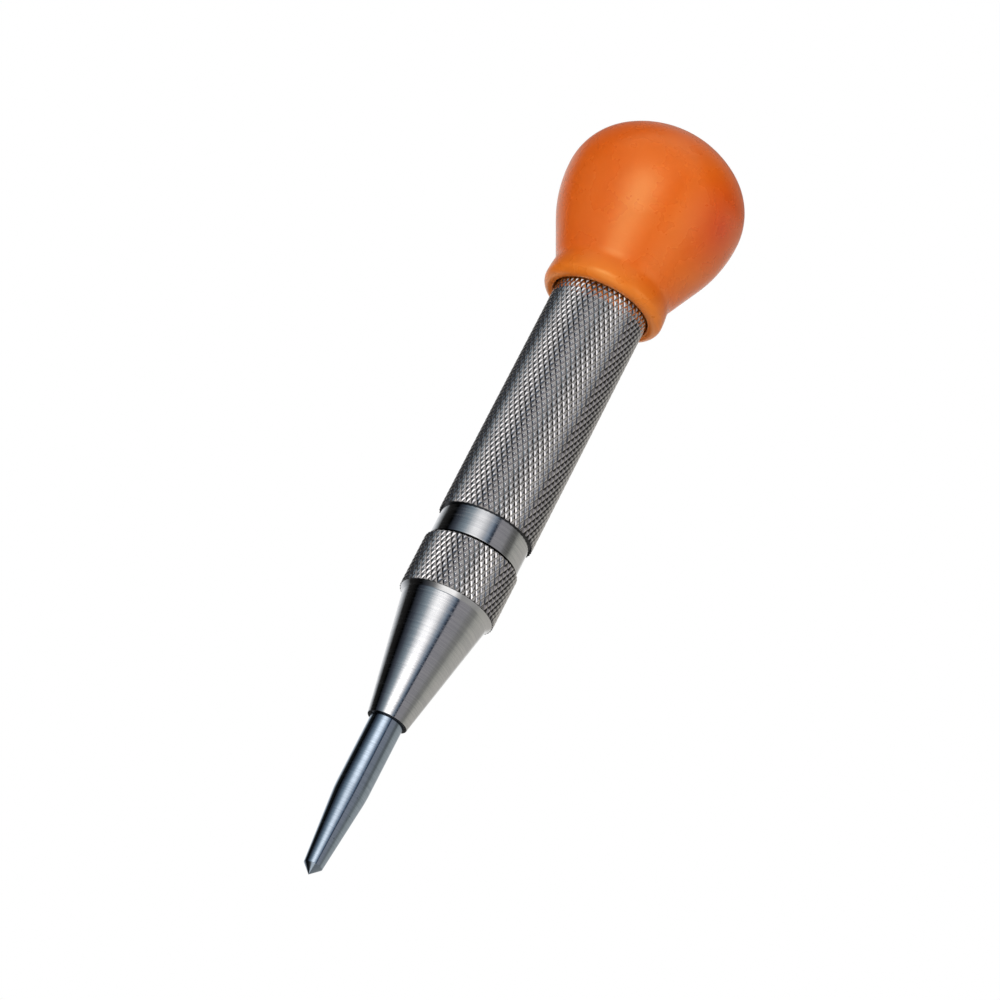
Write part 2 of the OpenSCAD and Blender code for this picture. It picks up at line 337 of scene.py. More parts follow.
def bridge_rims(piece, low, high):
    """Bridges the two open rims that lie between two heights."""
    bpy.ops.mesh.select_mode(type="EDGE")
    bpy.ops.mesh.select_all(action="DESELECT")
    mesh = bmesh.from_edit_mesh(piece.data)
    for e in mesh.edges:
        e.select = e.is_boundary and all(low < v.co.z < high for v in e.verts)
    mesh.select_flush_mode()
    bmesh.update_edit_mesh(piece.data)
    bpy.ops.mesh.bridge_edge_loops()
    bpy.ops.mesh.select_mode(type="VERT")


def make_cap():
    """The ball, its cone and the ring round its mouth."""
    crown_z = cap_high.z - CROWN_R
    upper_r = BALL_R - SHOULDER_OFFSET
    widest = crown_z + math.sqrt((CROWN_R - upper_r) ** 2 - SHOULDER_OFFSET ** 2)
    crown_angle = math.asin(SHOULDER_OFFSET / (CROWN_R - upper_r))
    piece = begin("cap_ball", 0, cap_high.z)
    arc_about(0, crown_z, crown_angle, CROWN_STEPS)
    arc_about(SHOULDER_OFFSET, widest, math.pi / 2 - crown_angle, SHOULDER_STEPS)
    arc_about(BALL_R - LOWER_ROUND_R, widest, CONE_ANGLE, LOWER_STEPS)
    mouth_top = cap_low.z + MOUTH_HEIGHT
    line_to(piece, (CONE_FOOT_R, RING_TOP), (RING_R, RING_TOP - RING_FLARE), (RING_R, cap_low.z),
            (LIP_R, cap_low.z), (MOUTH_R, cap_low.z + MOUTH_RISE), (MOUTH_R, mouth_top),
            (CUP_SOCKET_R, mouth_top), (CUP_SOCKET_R, cup_high.z), (0, cup_high.z))
    round_corner(piece, CONE_FOOT_R, RING_TOP, FOLD_ROUND, FOLD_STEPS)
    round_corner(piece, RING_R, RING_TOP - RING_FLARE, FOLD_ROUND)
    round_corner(piece, RING_R, cap_low.z, LIP_ROUND, LIP_STEPS)
    round_corner(piece, LIP_R, cap_low.z, LIP_EDGE)
    turn_outline()
    return finish_piece(piece, "cap", "ball_cap")


def make_barrel():
    """The tube with its polished neck below and its knurled grip up to the cap's mouth."""
    piece = begin("barrel_tube", GROOVE_R - EDGE, GRIP_LOW)
    top = barrel_high.z
    line_to(piece, (NECK_R, GRIP_LOW), (NECK_R, JOINT), (SOCKET_R, JOINT), (SOCKET_R, SOCKET_TOP),
            (TRIP_R, SOCKET_TOP), (TRIP_R, TRIP_LOW), (BORE_R, TRIP_HIGH), (BORE_R, top),
            (THREAD_R - THREAD_BEVEL, top), (THREAD_R, top - THREAD_BEVEL), (THREAD_R, THREAD_LOW),
            (RELIEF_R, THREAD_LOW), (RELIEF_R, GRIP_HIGH))
    round_corner(piece, NECK_R, JOINT, SEAM_ROUND)
    turn_outline()
    skin = knurl_skin("grip_knurl", GRIP_LOW, GRIP_HIGH)
    cut_level(GRIP_LOW, "above")
    cut_level(GRIP_HIGH, "below")
    join_skin(piece, skin)
    bridge_rims(piece, GRIP_LOW - EDGE, GRIP_LOW + EDGE)
    bridge_rims(piece, GRIP_HIGH - EDGE, GRIP_HIGH + EDGE)
    close_skin()
    return finish_piece(piece, "barrel", "barrel", KNURL_SMOOTH_ANGLE)


def make_nose():
    """The turned cone with its knurled collar and the spigot that goes up into the barrel."""
    high_slope = (GRIP_R - COLLAR_TOP_R) / (JOINT - BAND_HIGH)
    skin_high = JOINT - SEAM_GAP
    skin_top_r = GROOVE_R - high_slope * (skin_high - BAND_HIGH)
    low, top = nose_low.z, nose_high.z
    piece = begin("nose_cone", GROOVE_R - RIM, COLLAR_KNURL_LOW)
    line_to(piece, (COLLAR_LOW_R, COLLAR_LOW), (NOSE_END_R, low), (GUIDE_R + COUNTERSINK, low),
            (GUIDE_R, low + COUNTERSINK), (GUIDE_R, pin_low.z), (CHAMBER_R, pin_low.z), (CHAMBER_R, top),
            (SPIGOT_R - THREAD_BEVEL, top), (SPIGOT_R, top - THREAD_BEVEL), (SPIGOT_R, JOINT),
            (SEAM_R, JOINT), (SEAM_R, skin_high))
    round_corner(piece, COLLAR_LOW_R, COLLAR_LOW, EDGE)
    round_corner(piece, NOSE_END_R, low, EDGE, NOSE_END_STEPS)
    turn_outline()
    skin = knurl_skin("collar_knurl", COLLAR_KNURL_LOW, skin_high)
    cut_level(BAND_LOW)
    cut_level(BAND_HIGH)
    cut_level(COLLAR_KNURL_LOW, "above")
    cut_level(skin_high, "below")
    draw_in(skin, COLLAR_KNURL_LOW, GROOVE_R)
    lean_in(skin, BAND_HIGH, high_slope)
    draw_in(skin, skin_high, skin_top_r)
    join_skin(piece, skin)
    bridge_rims(piece, COLLAR_KNURL_LOW - EDGE, COLLAR_KNURL_LOW + EDGE)
    bridge_rims(piece, skin_high - EDGE, skin_high + EDGE)
    close_skin()
    return finish_piece(piece, "barrel", "nose", KNURL_SMOOTH_ANGLE)


def make_punch():
    """The ground point, the taper, the shank and the tang that the drive pin holds."""
    piece = begin("punch_point", 0, punch_low.z)
    top = punch_high.z
    line_to(piece, (TIP, TIP), (POINT_R, POINT_R), (SHANK_R, TAPER_TOP), (SHANK_R, TANG_LOW),
            (TANG_R, TANG_LOW), (TANG_R, top), (0, top))
    round_corner(piece, SHANK_R, TAPER_TOP, TAPER_BLEND, TAPER_STEPS)
    round_corner(piece, POINT_R, POINT_R, POINT_EDGE, POINT_STEPS)
    round_corner(piece, SHANK_R, TANG_LOW, TANG_EDGE)
    round_corner(piece, TANG_R, top, TANG_EDGE)
    turn_outline()
    return finish_piece(piece, "punch", "punch")


def make_spring(name, node_low, node_high, axis, wire_r, turns, body, node):
    """A wire wound along an axis, X or Z, between two corners of its CAD node's box."""
    length = (node_high - node_low)[axis]
    coil_r = (node_high - node_low)[Y] / 2 - wire_r
    bpy.ops.object.select_all(action="DESELECT")
    bpy.ops.mesh.primitive_circle_add(vertices=WIRE_SIDES, radius=wire_r, location=(coil_r, 0, wire_r),
                                      rotation=(math.pi / 2, 0, 0))
    piece = bpy.context.object
    piece.name = name
    piece.data.name = name
    bpy.ops.object.transform_apply(location=True, rotation=True, scale=True)
    bpy.ops.object.modifier_add(type="SCREW")
    screw = piece.modifiers[-1]
    screw.angle = 2 * math.pi * turns
    screw.screw_offset = length - 2 * wire_r
    screw.steps = STEPS_PER_TURN * math.ceil(turns)
    screw.render_steps = screw.steps
    screw.use_merge_vertices = False
    bpy.ops.object.modifier_apply(modifier=screw.name)
    bpy.ops.object.mode_set(mode="EDIT")
    bpy.ops.mesh.select_all(action="DESELECT")
    bpy.ops.mesh.select_non_manifold(extend=False, use_wire=False, use_multi_face=False,
                                     use_non_contiguous=False, use_verts=False)
    bpy.ops.mesh.edge_face_add()
    close_skin()
    bpy.ops.object.mode_set(mode="OBJECT")
    if axis == Z:
        place = Matrix.Translation((0, 0, node_low.z))
    else:
        middle = (node_low.z + node_high.z) / 2
        place = Matrix.Translation((node_low.x, 0, middle)) @ Matrix.Rotation(math.pi / 2, 4, "Y")
    piece.data.transform(place)
    return finish_piece(piece, body, node)


def grey(level):
    """A neutral colour."""
    return (level, level, level)


def new_node(tree, kind, settings=None, **inputs):
    """Adds a shader node; settings are its properties, and inputs its sockets' values by name."""
    node = tree.nodes.new(kind)
    for name, value in (settings or {}).items():
        setattr(node, name, value)
    for name, value in inputs.items():
        node.inputs[name.replace("_", " ")].default_value = value
    return node


def ramp(tree, factor, stops):
    """A colour ramp on a factor; stops are (place, (r, g, b)) pairs."""
    node = tree.nodes.new("ShaderNodeValToRGB")
    elements = node.color_ramp.elements
    while len(elements) < len(stops):
        elements.new(1.0)
    for element, (place, colour) in zip(elements, stops):
        element.position = place
        element.color = (*colour, 1)
    tree.links.new(factor, node.inputs["Fac"])
    return node.outputs["Color"]


def noise(tree, place, stretch, detail=3.0, roughness=0.55):
    """Noise on Object coordinates, from a place of its own, in features per metre on each axis."""
    mapping = new_node(tree, "ShaderNodeMapping", Scale=stretch, Location=place)
    coordinate = tree.nodes.new("ShaderNodeTexCoord")
    texture = new_node(tree, "ShaderNodeTexNoise", Scale=1.0, Detail=detail, Roughness=roughness)
    tree.links.new(coordinate.outputs["Object"], mapping.inputs["Vector"])
    tree.links.new(mapping.outputs["Vector"], texture.inputs["Vector"])
    return texture.outputs["Fac"]


def span(tree, value, low, high, to_low, to_high):
    """A value mapped from one range to another and held inside it."""
    node = new_node(tree, "ShaderNodeMapRange", {"clamp": True})
    for name, number in (("From Min", low), ("From Max", high), ("To Min", to_low), ("To Max", to_high)):
        node.inputs[name].default_value = number
    tree.links.new(value, node.inputs["Value"])
    return node.outputs["Result"]


def mix(tree, factor, first, second, blend="MIX"):
    """Two colours mixed by a factor; each is a socket or a plain colour."""
    node = new_node(tree, "ShaderNodeMix", {"data_type": "RGBA", "blend_type": blend})
    for socket, value in ((node.inputs[0], factor), (node.inputs[6], first), (node.inputs[7], second)):
        if isinstance(value, bpy.types.NodeSocket):
            tree.links.new(value, socket)
        else:
            socket.default_value = value if isinstance(value, float) else (*value, 1)
    return node.outputs[2]


def bump(tree, height, strength, distance):
    """A bump from a height."""
    node = new_node(tree, "ShaderNodeBump", Strength=strength, Distance=distance)
    tree.links.new(height, node.inputs["Height"])
    return node.outputs["Normal"]


def new_material(name):
    """A node material, with its tree and its shader."""
    material = bpy.data.materials.new(name)
    material.use_nodes = True
    tree = material.node_tree
    return material, tree, tree.nodes["Principled BSDF"]


def from_axis(tree):
    """Distance from the tool's axis, and the height along it."""
    coordinate = tree.nodes.new("ShaderNodeTexCoord")
    split = tree.nodes.new("ShaderNodeSeparateXYZ")
    flat = new_node(tree, "ShaderNodeCombineXYZ", Z=0.0)
    length = new_node(tree, "ShaderNodeVectorMath", {"operation": "LENGTH"})
    tree.links.new(coordinate.outputs["Object"], split.inputs["Vector"])
    tree.links.new(split.outputs["X"], flat.inputs["X"])
    tree.links.new(split.outputs["Y"], flat.inputs["Y"])
    tree.links.new(flat.outputs["Vector"], length.inputs[0])
    return length.outputs["Value"], split.outputs["Z"]


# Turned steel: lathe marks, smears, pits and streaks, in features per metre round and along the axis
MARKS_ROUND = 70
MARKS_ALONG = 5200.0
SMEARS = (160, 160, 260)
PITS = (1500, 1500, 900)
STREAKS_ROUND = 260
STREAKS_TO_MARKS = 0.8
# Range of each noise that the finish runs over
MARK_RANGE = (0.3, 0.62)
SMEAR_RANGE = (0.45, 0.75)
PIT_RANGE = (0.70, 0.76)
STREAK_RANGE = (0.4, 0.68)
# Share of the deep colour in a smear, and how much of it is left in a pit
SMEAR_SHARE = 0.22
PIT_SHADE = 0.25
# Share of a pit's dark on the ground point, and how softly that ends
GROUND_SHARE = 0.5
GROUND_BLEND = MM / 10
# Relief of the lathe marks
MARK_STRENGTH = 0.35
MARK_DEPTH = 0.0012 * MM


def turned_metal(name, pale, deep, rough_low, rough_high, along=MARKS_ALONG, pitted=0.0, ground_to=0.0):
    """Turned steel: lathe marks round the axis in its colour, its roughness and its relief."""
    material, tree, shader = new_material(name)
    shader.inputs["Metallic"].default_value = 1.0
    marks = noise(tree, (0, 0, 0), (MARKS_ROUND, MARKS_ROUND, along), detail=4.0, roughness=0.65)
    smears = noise(tree, (3, 1, 2), SMEARS)
    colour = ramp(tree, marks, ((MARK_RANGE[0], deep), (MARK_RANGE[1], pale)))
    colour = mix(tree, span(tree, smears, *SMEAR_RANGE, 0.0, SMEAR_SHARE), colour, deep)
    dark = tuple(c * PIT_SHADE for c in deep)
    if pitted:
        pits = noise(tree, (7, 5, 1), PITS, detail=2.0)
        colour = mix(tree, span(tree, pits, *PIT_RANGE, 0.0, pitted), colour, dark)
    if ground_to:
        _, height = from_axis(tree)
        ground = span(tree, height, ground_to + GROUND_BLEND, ground_to - GROUND_BLEND, 0.0, GROUND_SHARE)
        colour = mix(tree, ground, colour, dark)
    tree.links.new(colour, shader.inputs["Base Color"])
    streaks = noise(tree, (5, 2, 0), (STREAKS_ROUND, STREAKS_ROUND, along * STREAKS_TO_MARKS))
    tree.links.new(span(tree, streaks, *STREAK_RANGE, rough_low, rough_high), shader.inputs["Roughness"])
    tree.links.new(bump(tree, marks, MARK_STRENGTH, MARK_DEPTH), shader.inputs["Normal"])
    return material


# Knurled plate: tarnish in features per metre, and the range of it that the colour runs over
TARNISH = (420, 420, 420)
TARNISH_RANGE = (0.35, 0.75)
# Its grain in features per metre, and the grain's relief
TOOTH_GRAIN = (6000, 6000, 6000)
TOOTH_GRAIN_STRENGTH = 0.15
TOOTH_GRAIN_DEPTH = 0.004 * MM
# Share of a tooth's height that the painted shade in the groove reaches, and the roughness from groove to
# crest
GROOVE_SHADE_REACH = 0.16
TOOTH_ROUGHNESS = (0.09, 0.14)


def knurled_metal(name, pale, deep, groove_shade):
    """Plated teeth, bright on their flanks and crests, with painted shade at the bottom of their grooves.
    """
    material, tree, shader = new_material(name)
    shader.inputs["Metallic"].default_value = 1.0
    away, _ = from_axis(tree)
    crest = span(tree, away, GROOVE_R, GRIP_R, 0.0, 1.0)
    tarnish = noise(tree, (2, 4, 6), TARNISH)
    plate = ramp(tree, tarnish, ((TARNISH_RANGE[0], pale), (TARNISH_RANGE[1], deep)))
    # Painted shade: darker towards the bottom of each groove
    depth = ramp(tree, crest, ((0.0, groove_shade), (GROOVE_SHADE_REACH, grey(1.0))))
    tree.links.new(mix(tree, 1.0, plate, depth, "MULTIPLY"), shader.inputs["Base Color"])
    tree.links.new(span(tree, crest, 0.0, 1.0, *TOOTH_ROUGHNESS), shader.inputs["Roughness"])
    grain = noise(tree, (1, 2, 3), TOOTH_GRAIN, detail=2.0)
    tree.links.new(bump(tree, grain, TOOTH_GRAIN_STRENGTH, TOOTH_GRAIN_DEPTH), shader.inputs["Normal"])
    return material


# Cap plastic: clouds of pigment, grain, scuffs and handling in features per metre
CLOUDS = (55, 55, 55)
CAP_GRAIN = (2300, 2300, 2300)
SCUFFS = (1300, 1300, 900)
HANDLING = (240, 240, 240)
# Range of each noise that the finish runs over
CLOUD_RANGE = (0.35, 0.72)
CAP_GRAIN_RANGE = (0.55, 0.8)
SCUFF_RANGE = (0.64, 0.78)
HANDLING_RANGE = (0.3, 0.7)
# Colour of the pigment's pale and deep clouds
CLOUD_PALE = (0.73, 0.118, 0.006)
CLOUD_DEEP = (0.70, 0.100, 0.006)
# Painted shade: a darker, redder patch on the ball's right side, where less light falls: its middle,
# reach, share and colour
RIGHT_SHADE_PLACE = (10.9 * MM, -8.9 * MM, 116.4 * MM)
RIGHT_SHADE_REACH = 8.5 * MM
RIGHT_SHADE_SHARE = 0.9
RIGHT_SHADE_COLOUR = (0.60, 0.036, 0.010)
# Painted light: a yellower, lighter band on the lit lip round the mouth: the heights where it begins and
# is full, its share and colour
LIP_LIGHT_HIGH = cap_low.z + 5.0 * MM
LIP_LIGHT_LOW = cap_low.z + 0.8 * MM
LIP_LIGHT_SHARE = 0.8
LIP_LIGHT_COLOUR = (0.74, 0.170, 0.010)
# Painted shade inside the mouth: its reach, share and colour
MOUTH_SHADE_REACH = 0.3 * MM
MOUTH_SHADE_SHARE = 0.6
MOUTH_SHADE_COLOUR = (0.10, 0.02, 0.005)
# Share and colour of the grain and of the scuffs
CAP_GRAIN_SHARE = 0.16
CAP_GRAIN_COLOUR = (0.84, 0.20, 0.04)
SCUFF_SHARE = 0.14
SCUFF_COLOUR = (0.52, 0.065, 0.010)
# Gloss, roughness, and relief of the grain
CAP_IOR = 1.6
CAP_SPECULAR = 0.9
CAP_SPECULAR_TINT = (0.9, 1.0, 0.42, 1)
CAP_ROUGHNESS = (0.24, 0.32)
CAP_GRAIN_STRENGTH = 0.4
CAP_GRAIN_DEPTH = 0.012 * MM


def cap_plastic():
    """Satin orange plastic: cloudy pigment, grain, scuffs, painted shade on the right and in the mouth,
    painted light on the lip.
    """
    material, tree, shader = new_material("satin_orange_plastic")
    clouds = noise(tree, (0.35, 0.1, 0.2), CLOUDS, detail=2.0)
    colour = ramp(tree, clouds, ((CLOUD_RANGE[0], CLOUD_PALE), (CLOUD_RANGE[1], CLOUD_DEEP)))
    # Painted shade: a darker, redder patch on the ball's right side
    coordinate = tree.nodes.new("ShaderNodeTexCoord")
    apart = new_node(tree, "ShaderNodeVectorMath", {"operation": "DISTANCE"})
    apart.inputs[1].default_value = RIGHT_SHADE_PLACE
    tree.links.new(coordinate.outputs["Object"], apart.inputs[0])
    right_shade = span(tree, apart.outputs["Value"], 0.0, RIGHT_SHADE_REACH, RIGHT_SHADE_SHARE, 0.0)
    colour = mix(tree, right_shade, colour, RIGHT_SHADE_COLOUR)
    away, height = from_axis(tree)
    # Painted light: the lip round the mouth is yellower and lighter
    colour = mix(tree, span(tree, height, LIP_LIGHT_HIGH, LIP_LIGHT_LOW, 0.0, LIP_LIGHT_SHARE), colour, LIP_LIGHT_COLOUR)
    # Painted shade: darker inside the mouth, in the recess under the lip
    mouth_shade = mix(tree, span(tree, away, LIP_R, LIP_R - MOUTH_SHADE_REACH, 0.0, MOUTH_SHADE_SHARE), colour, MOUTH_SHADE_COLOUR)
    mouth = span(tree, height, cap_low.z + 2 * MOUTH_HEIGHT, cap_low.z + MOUTH_HEIGHT, 0.0, 1.0)
    colour = mix(tree, mouth, colour, mouth_shade)
    grain = noise(tree, (1, 5, 2), CAP_GRAIN, detail=2.0)
    colour = mix(tree, span(tree, grain, *CAP_GRAIN_RANGE, 0.0, CAP_GRAIN_SHARE), colour, CAP_GRAIN_COLOUR)
    scuffs = noise(tree, (4, 2, 9), SCUFFS, detail=4.0, roughness=0.7)
    colour = mix(tree, span(tree, scuffs, *SCUFF_RANGE, 0.0, SCUFF_SHARE), colour, SCUFF_COLOUR)
    tree.links.new(colour, shader.inputs["Base Color"])
    shader.inputs["IOR"].default_value = CAP_IOR
    shader.inputs["Specular IOR Level"].default_value = CAP_SPECULAR
    shader.inputs["Specular Tint"].default_value = CAP_SPECULAR_TINT
    handling = noise(tree, (8, 3, 1), HANDLING)
    tree.links.new(span(tree, handling, *HANDLING_RANGE, *CAP_ROUGHNESS), shader.inputs["Roughness"])
    tree.links.new(bump(tree, grain, CAP_GRAIN_STRENGTH, CAP_GRAIN_DEPTH), shader.inputs["Normal"])
    return material


def wear(piece, material):
    """Gives a piece one finish."""
    piece.data.materials.clear()
    piece.data.materials.append(material)


# Order of the finishes on a knurled piece; a face that points down more than this gets painted shade
PLAIN, KNURLED, DARK = 0, 1, 2
DOWNWARD = -0.65


def wear_knurl(piece, finishes, low, high):
    """Three finishes: painted shade where a face points down, knurled outside between two heights, else
    plain.
    """
    piece.data.materials.clear()
    for finish in finishes:
        piece.data.materials.append(finish)
    for face in piece.data.polygons:
        # Painted shade on faces that point down, such as end faces
        if face.normal.z < DOWNWARD:
            face.material_index = DARK
        elif face.center.xy.length > SEAM_R + EDGE and low < face.center.z < high:
            face.material_index = KNURLED
        else:
            face.material_index = PLAIN


# Camera at the photograph's viewing angle
TARGET = Vector((-0.146 * MM, 0, 64.56 * MM))
CAMERA_DISTANCE = 0.6547
CAMERA_ELEVATION = math.radians(-23.2)
CAMERA_ROLL = math.radians(27.235)
LENS = 160.6
SENSOR = 36.0
NEAREST = 0.01
FARTHEST = 20.0


def make_camera():
    """A long lens below the tool's middle, rolled so that the tool leans to the right."""
    back = Vector((0, -math.cos(CAMERA_ELEVATION), math.sin(CAMERA_ELEVATION)))
    upright = Vector((0, math.sin(CAMERA_ELEVATION), math.cos(CAMERA_ELEVATION)))
    up = math.cos(CAMERA_ROLL) * upright - math.sin(CAMERA_ROLL) * Vector((1, 0, 0))
    right = up.cross(back)
    data = bpy.data.cameras.new("camera")
    data.lens = LENS
    data.sensor_width = SENSOR
    data.clip_start = NEAREST
    data.clip_end = FARTHEST
    camera = bpy.data.objects.new("camera", data)
    axes = Matrix((right, up, back)).transposed()
    camera.matrix_world = Matrix.Translation(TARGET + back * CAMERA_DISTANCE) @ axes.to_4x4()
    bpy.context.scene.collection.objects.link(camera)
    bpy.context.scene.camera = camera


# Studio surround: degrees round the tool from the camera, positive to the right, and the colour there
SURROUND = (
    (-180, (1.00, 1.00, 1.00)), (-152, (0.72, 0.74, 0.77)), (-138, (0.34, 0.36, 0.38)),
    (-124, (0.02, 0.02, 0.02)), (-92, (0.00, 0.00, 0.00)), (-74, (0.05, 0.06, 0.08)),
    (-50, (0.22, 0.28, 0.33)), (-38, (0.36, 0.40, 0.44)), (0, (0.34, 0.36, 0.40)),
    (8, (0.32, 0.37, 0.44)), (14, (0.12, 0.16, 0.22)), (19, (0.03, 0.04, 0.06)), (22, (0.03, 0.04, 0.06)),
    (24, (0.28, 0.275, 0.30)), (54, (0.26, 0.26, 0.275)), (76, (0.31, 0.315, 0.30)),
    (92, (0.38, 0.38, 0.355)), (106, (0.43, 0.425, 0.40)), (148, (0.46, 0.45, 0.43)),
    (164, (0.75, 0.75, 0.74)), (180, (1.00, 1.00, 1.00)),
)
# Dark strip to the right of the camera: degrees round the tool, and what it leaves of the light
DARK_STRIP = (
    (-180, 1.0), (54, 1.0), (61, 0.55), (68, 0.36), (76, 0.36), (83, 0.8), (89, 1.0), (180, 1.0),
)
# Sines of the height between which the strip gains strength, and its share below them
STRIP_EDGE = (0.30, 0.385)
STRIP_FAINT = 0.45
# Level of what lies low round the tool, such as a pale table in front of it
SURROUND_LOW = (
    (-180, 0.1), (-120, 0.02), (-95, 0.02), (-75, 0.06), (-58, 0.2), (-44, 0.75), (-34, 1.1), (4, 1.2),
    (16, 0.6), (30, 0.32), (90, 0.4), (150, 0.45), (180, 0.1),
)
# Level of what lies high round the tool
SURROUND_HIGH = (
    (-180, 0.4), (-150, 0.2), (-128, 0.14), (-112, 0.07), (-94, 0.03), (-88, 0.06), (-78, 0.32),
    (-68, 0.45), (-50, 0.45), (-40, 0.38), (0, 0.38), (28, 0.42), (36, 0.3), (46, 0.05), (52, 0.02),
    (96, 0.02), (110, 0.1), (130, 0.2), (180, 0.3),
)
# Sine of the height above the tool where the low and the high surround begin and where they are alone
LOW_EDGE = (-0.55, -0.75)
HIGH_EDGE = (0.44, 0.54)
# Dark card low behind the tool: the way to it, the cosines where it begins and is full, and its level
CARD_WAY = (0.0, 0.92, -0.39)
CARD_EDGE = (0.95, 0.98)
CARD_LEVEL = 0.01


def ring_stops(rows):
    """Ramp stops once round the tool, from rows of degrees and a colour or a level of grey."""
    stops = []
    for degrees, tone in rows:
        colour = tone if isinstance(tone, tuple) else grey(tone)
        stops.append(((degrees + 180) / 360, colour))
    return stops


def make_world():
    """A studio of pale and dark bands round the tool; the camera itself sees plain white."""
    world = bpy.data.worlds.new("studio")
    bpy.context.scene.world = world
    world.use_nodes = True
    tree = world.node_tree
    tree.nodes.clear()
    coordinate = tree.nodes.new("ShaderNodeTexCoord")
    split = tree.nodes.new("ShaderNodeSeparateXYZ")
    tree.links.new(coordinate.outputs["Generated"], split.inputs["Vector"])
    towards = new_node(tree, "ShaderNodeMath", {"operation": "MULTIPLY"})
    towards.inputs[1].default_value = -1.0
    tree.links.new(split.outputs["Y"], towards.inputs[0])
    angle = new_node(tree, "ShaderNodeMath", {"operation": "ARCTAN2"})
    tree.links.new(split.outputs["X"], angle.inputs[0])
    tree.links.new(towards.outputs["Value"], angle.inputs[1])
    around = span(tree, angle.outputs["Value"], -math.pi, math.pi, 0.0, 1.0)
    ring = ramp(tree, around, ring_stops(SURROUND))
    strip = ramp(tree, around, ring_stops(DARK_STRIP))
    strip = mix(tree, span(tree, split.outputs["Z"], *STRIP_EDGE, STRIP_FAINT, 1.0), grey(1.0), strip)
    ring = mix(tree, 1.0, ring, strip, "MULTIPLY")
    low = ramp(tree, around, ring_stops(SURROUND_LOW))
    high = ramp(tree, around, ring_stops(SURROUND_HIGH))
    ring = mix(tree, span(tree, split.outputs["Z"], *LOW_EDGE, 0.0, 1.0), ring, low)
    ring = mix(tree, span(tree, split.outputs["Z"], *HIGH_EDGE, 0.0, 1.0), ring, high)
    card = new_node(tree, "ShaderNodeVectorMath", {"operation": "DOT_PRODUCT"})
    card.inputs[1].default_value = CARD_WAY
    tree.links.new(coordinate.outputs["Generated"], card.inputs[0])
    hidden = span(tree, card.outputs["Value"], *CARD_EDGE, 0.0, 1.0)
    colour = mix(tree, hidden, ring, grey(CARD_LEVEL))
    surround = new_node(tree, "ShaderNodeBackground", Strength=1.0)
    tree.links.new(colour, surround.inputs["Color"])
    white = new_node(tree, "ShaderNodeBackground", Color=(1, 1, 1, 1), Strength=1.0)
    path = tree.nodes.new("ShaderNodeLightPath")
    choose = tree.nodes.new("ShaderNodeMixShader")
    output = tree.nodes.new("ShaderNodeOutputWorld")
    tree.links.new(path.outputs["Is Camera Ray"], choose.inputs["Fac"])
    tree.links.new(surround.outputs["Background"], choose.inputs[1])
    tree.links.new(white.outputs["Background"], choose.inputs[2])
    tree.links.new(choose.outputs["Shader"], output.inputs["Surface"])


# Soft panel beside the camera: degrees round the tool, distance from its axis, brightness and colour
PANEL_SIDE = -22
PANEL_DISTANCE = 0.30
PANEL_LEVEL = 2.2
PANEL_COLOUR = (1.0, 0.97, 0.95)
# Its share of full brightness, across in degrees from its middle, and up from the tool's point in metres
PANEL_ACROSS = (
    (-40, 0.0), (-30, 0.03), (-22, 0.13), (-13, 0.52), (-4, 0.97), (8, 0.97), (17, 0.6), (24, 0.2),
    (29, 0.0),
)
PANEL_UP = (
    (-0.03, 0.0), (-0.01, 0.2), (0.006, 0.5), (0.018, 0.85), (0.024, 0.95), (0.030, 0.62), (0.036, 0.46),
    (0.042, 0.38), (0.055, 0.34), (0.112, 0.34), (0.125, 0.5), (0.155, 0.45), (0.185, 0.24), (0.225, 0.09),
    (0.26, 0.0),
)


